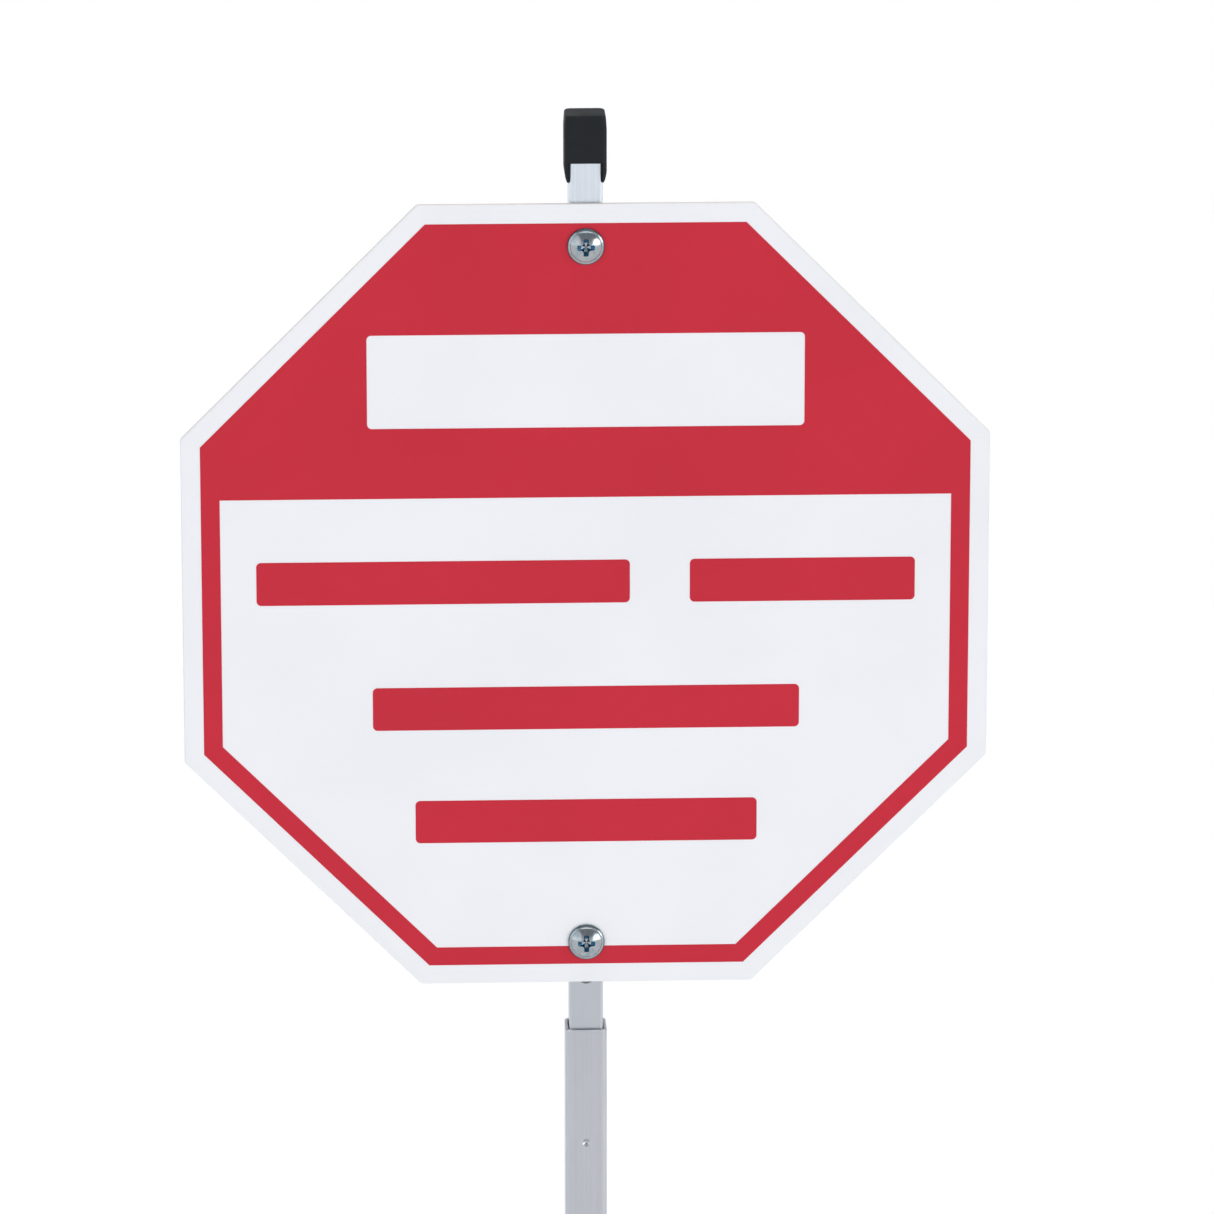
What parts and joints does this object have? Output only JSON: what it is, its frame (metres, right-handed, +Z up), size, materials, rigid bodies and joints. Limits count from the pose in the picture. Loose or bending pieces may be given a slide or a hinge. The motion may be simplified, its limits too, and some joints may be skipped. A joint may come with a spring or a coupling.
{
  "type": "signpost with sign",
  "caption": "Octagonal plastic sign screwed to a square aluminium stake that pulls apart, with a black driving cap on top and a point for the ground.",
  "frame": {"origin": "on the stake's axis at ground level, 304.8 mm above the point's tip", "axes": "+Z up along the stake, the sign faces -Y, +X to the right as someone facing the sign sees it"},
  "size_m": [0.254, 0.0229, 0.9144],
  "materials": {
    "lower_tube_metal": "mill finish, satin",
    "upper_tube_metal": "mill finish, satin",
    "point_plastic": "moulded black nylon",
    "cap_rubber": "matt moulded",
    "plate_plastic": "smooth white sheet",
    "white_film": "semi-gloss film",
    "red_film": "semi-gloss film",
    "screw_zinc": "bright zinc plate",
    "hardware_zinc": "bright zinc plate",
    "insert_nylon": "natural nylon"
  },
  "bodies": {
    "leg": {"lower_tube": "lower_tube_metal", "ground_point": "point_plastic"},
    "upper_part": {"upper_tube": "upper_tube_metal", "driving_cap": "cap_rubber", "sign_plate": "plate_plastic", "white_film": "white_film", "red_border": "red_film", "legend_bars": "red_film", "upper_sign_screw": "screw_zinc", "upper_washer": "hardware_zinc", "upper_lock_nut": "hardware_zinc", "upper_nut_insert": "insert_nylon", "lower_sign_screw": "screw_zinc", "lower_washer": "hardware_zinc", "lower_lock_nut": "hardware_zinc", "lower_nut_insert": "insert_nylon"}
  },
  "joints": [
    {"name": "stake_slide", "type": "slide", "parent": "leg", "child": "upper_part", "axis": [0, 0, 1], "range_m": [0, 0.05]}
  ]
}
